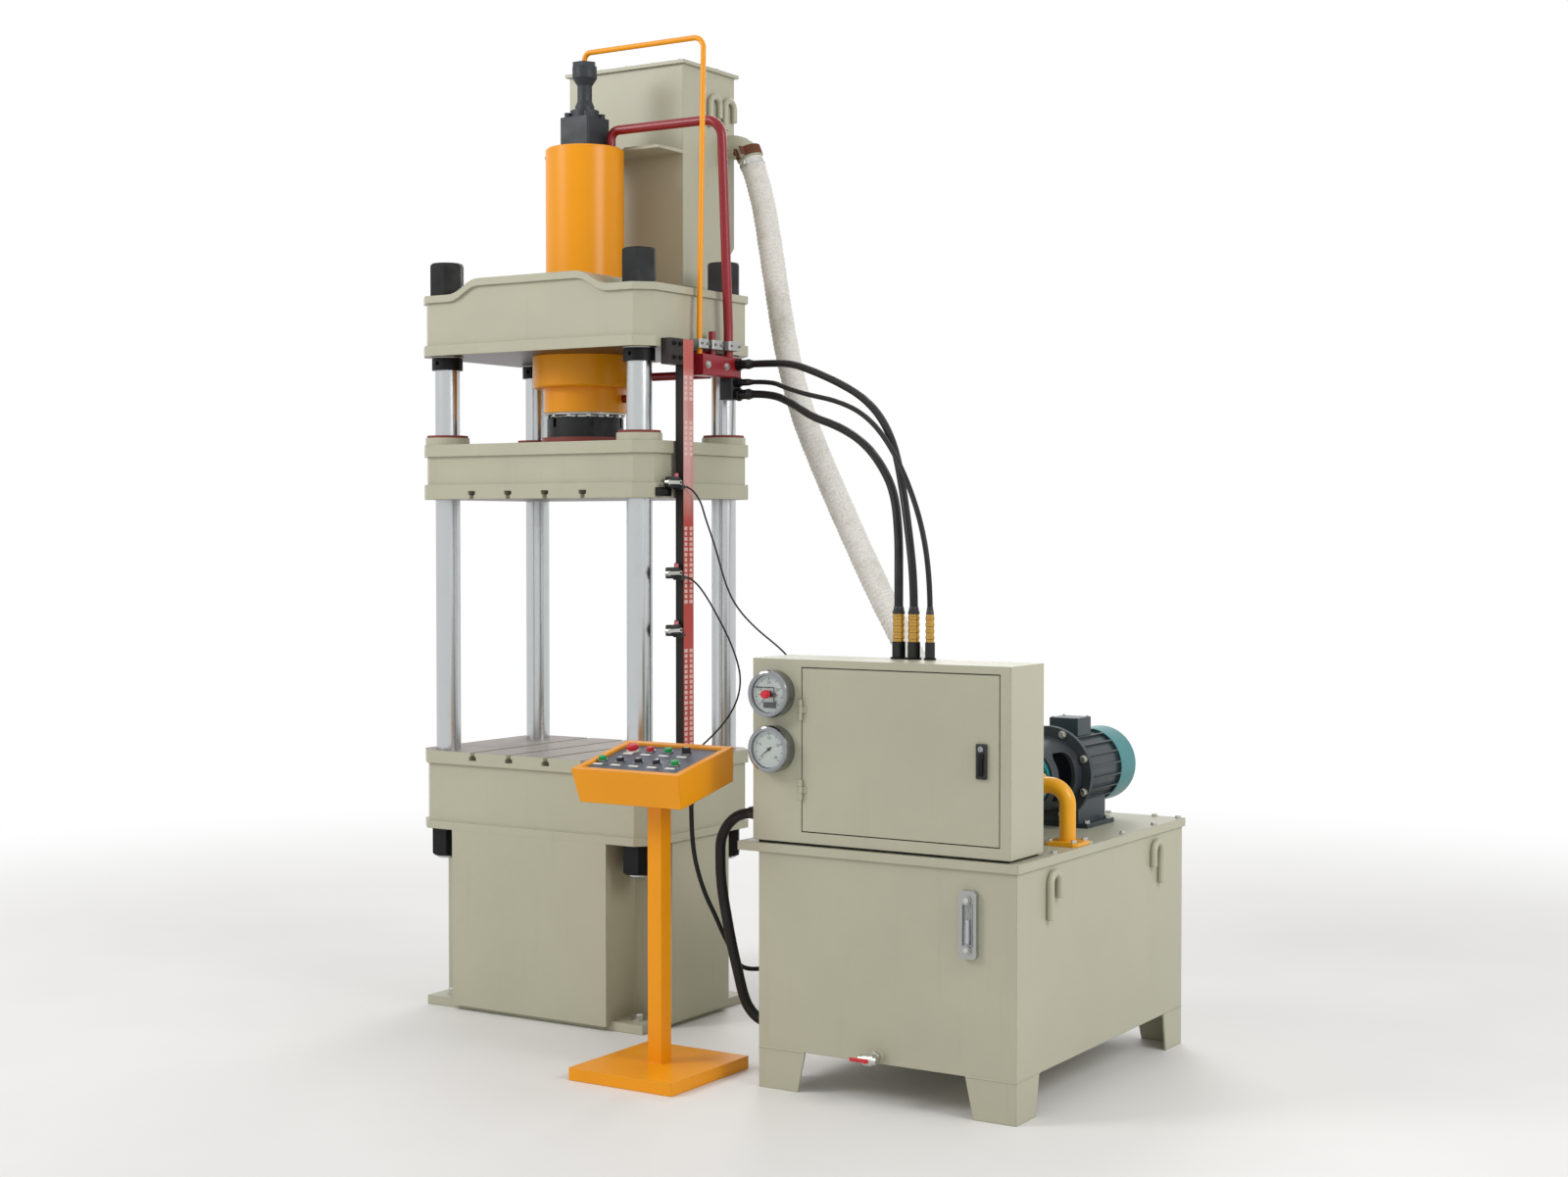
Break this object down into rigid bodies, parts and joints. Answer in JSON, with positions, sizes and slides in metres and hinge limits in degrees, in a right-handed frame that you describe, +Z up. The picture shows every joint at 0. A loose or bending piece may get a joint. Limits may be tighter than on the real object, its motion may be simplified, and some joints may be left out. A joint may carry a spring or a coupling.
{
  "type": "four-column hydraulic press",
  "caption": "Upright hydraulic press with round guide columns, sliding platen, top cylinder, oil power unit on a tank and a push-button pedestal joined by hoses and cables.",
  "frame": {"origin": "centre of the press base on the floor", "axes": "+X to the right along the machine's front, +Y to the back, +Z up"},
  "size_m": [2.48, 1.462, 3.271],
  "materials": {
    "body_paint": "satin pebble grey enamel",
    "orange_paint": "glossy orange enamel",
    "yellow_paint": "glossy yellow enamel",
    "pipe_red": "glossy dark red enamel",
    "primer_red": "matt red primer",
    "rail_paint": "satin red face with white scale, black flanks",
    "teal_paint": "glossy teal enamel",
    "motor_paint": "satin dark enamel",
    "cast_grey": "cast iron, dark grey",
    "black_steel": "black oxide",
    "column_chrome": "polished hard chrome",
    "gauge_chrome": "chrome bezel with white dial",
    "machined_steel": "machined",
    "clamp_alloy": "cast, satin",
    "panel_grey": "anodised",
    "lever_metal": "die-cast, satin",
    "fitting_brass": "brass ferrules on black adapters",
    "hose_black": "smooth black rubber",
    "hose_white": "off-white corrugated sleeve",
    "black_plastic": "moulded",
    "button_green": "glossy",
    "button_red": "glossy",
    "button_black": "glossy"
  },
  "bodies": {
    "press": {"base_frame": "body_paint", "columns": "column_chrome", "column_nuts": "black_steel", "beam_collars": "black_steel", "upper_beam": "body_paint", "cylinder_barrel": "orange_paint", "cylinder_lock_ring": "orange_paint", "cylinder_gland": "machined_steel", "prefill_valve": "cast_grey", "prefill_actuator": "cast_grey", "upper_tank": "body_paint", "overflow_elbow": "body_paint", "pressure_pipe": "pipe_red", "pilot_pipe": "orange_paint", "pipe_manifold": "pipe_red", "pipe_clamps": "clamp_alloy", "limit_rail": "rail_paint", "limit_switches": "black_plastic", "hose_fittings": "fitting_brass", "reservoir": "body_paint", "reservoir_lid": "body_paint", "level_gauge": "clamp_alloy", "control_cabinet": "body_paint", "valve_block": "machined_steel", "gauge_cases": "gauge_chrome", "pump": "teal_paint", "bell_housing": "cast_grey", "motor_body": "motor_paint", "fan_cover": "teal_paint", "suction_pipe": "yellow_paint", "pedestal_stand": "orange_paint", "control_box": "orange_paint", "button_panel": "panel_grey", "overflow_hose": "hose_white", "pressure_hose_left": "hose_black", "pressure_hose_middle": "hose_black", "pressure_hose_right": "hose_black", "loop_hose": "hose_black", "upper_switch_wire": "hose_black", "lower_switch_wire": "hose_black", "pedestal_cable": "hose_black"},
    "slide": {"slider": "body_paint", "guide_bushes": "primer_red", "piston_rod": "column_chrome", "rod_ring": "black_steel", "striker": "black_steel"},
    "door": {"cabinet_door": "body_paint"},
    "rotor": {"motor_rotor": "machined_steel"},
    "lever_top": {"switch_lever_top": "lever_metal"},
    "lever_middle": {"switch_lever_middle": "lever_metal"},
    "lever_low": {"switch_lever_low": "lever_metal"},
    "button_advance_body": {"button_advance": "button_green"},
    "button_press_body": {"button_press": "button_black"},
    "button_hold_body": {"button_hold": "button_black"},
    "button_return_body": {"button_return": "button_black"},
    "button_eject_body": {"button_eject": "button_green"},
    "button_stop_body": {"button_stop": "button_red"},
    "button_motor_off_body": {"button_motor_off": "button_red"},
    "button_motor_on_body": {"button_motor_on": "button_green"},
    "selector": {"selector_mode": "button_black"}
  },
  "joints": [
    {"name": "ram_slide", "type": "slide", "parent": "press", "child": "slide", "axis": [0, 0, 1], "range_m": [-0.6, 0]},
    {"name": "door_hinge", "type": "hinge", "parent": "press", "child": "door", "pos_m": [1.2785, -0.661, 0.998], "axis": [0, 0, 1], "range_deg": [-110, 0]},
    {"name": "motor_spin", "type": "hinge", "parent": "press", "child": "rotor", "pos_m": [1.72, 0.15, 0.889], "axis": [0, 1, 0], "continuous": true},
    {"name": "lever_top_pivot", "type": "hinge", "parent": "press", "child": "lever_top", "pos_m": [0.5265, -0.186, 1.787], "axis": [1, 0, 0], "range_deg": [-25, 25], "stiffness_Nm_per_rad": 0.4},
    {"name": "lever_middle_pivot", "type": "hinge", "parent": "press", "child": "lever_middle", "pos_m": [0.5265, -0.186, 1.494], "axis": [1, 0, 0], "range_deg": [-25, 25], "stiffness_Nm_per_rad": 0.4},
    {"name": "lever_low_pivot", "type": "hinge", "parent": "press", "child": "lever_low", "pos_m": [0.5265, -0.186, 1.308], "axis": [1, 0, 0], "range_deg": [-25, 25], "stiffness_Nm_per_rad": 0.4},
    {"name": "button_advance_press", "type": "slide", "parent": "press", "child": "button_advance_body", "axis": [0, 0.2079, -0.9781], "range_m": [0, 0.004], "stiffness_N_per_m": 300},
    {"name": "button_press_press", "type": "slide", "parent": "press", "child": "button_press_body", "axis": [0, 0.2079, -0.9781], "range_m": [0, 0.004], "stiffness_N_per_m": 300},
    {"name": "button_hold_press", "type": "slide", "parent": "press", "child": "button_hold_body", "axis": [0, 0.2079, -0.9781], "range_m": [0, 0.004], "stiffness_N_per_m": 300},
    {"name": "button_return_press", "type": "slide", "parent": "press", "child": "button_return_body", "axis": [0, 0.2079, -0.9781], "range_m": [0, 0.004], "stiffness_N_per_m": 300},
    {"name": "button_eject_press", "type": "slide", "parent": "press", "child": "button_eject_body", "axis": [0, 0.2079, -0.9781], "range_m": [0, 0.004], "stiffness_N_per_m": 300},
    {"name": "button_stop_press", "type": "slide", "parent": "press", "child": "button_stop_body", "axis": [0, 0.2079, -0.9781], "range_m": [0, 0.004], "stiffness_N_per_m": 300},
    {"name": "button_motor_off_press", "type": "slide", "parent": "press", "child": "button_motor_off_body", "axis": [0, 0.2079, -0.9781], "range_m": [0, 0.004], "stiffness_N_per_m": 300},
    {"name": "button_motor_on_press", "type": "slide", "parent": "press", "child": "button_motor_on_body", "axis": [0, 0.2079, -0.9781], "range_m": [0, 0.004], "stiffness_N_per_m": 300},
    {"name": "selector_turn", "type": "hinge", "parent": "press", "child": "selector", "pos_m": [0.869, -0.64849, 0.96814], "axis": [0, -0.2079, 0.9781], "range_deg": [-45, 45]}
  ]
}
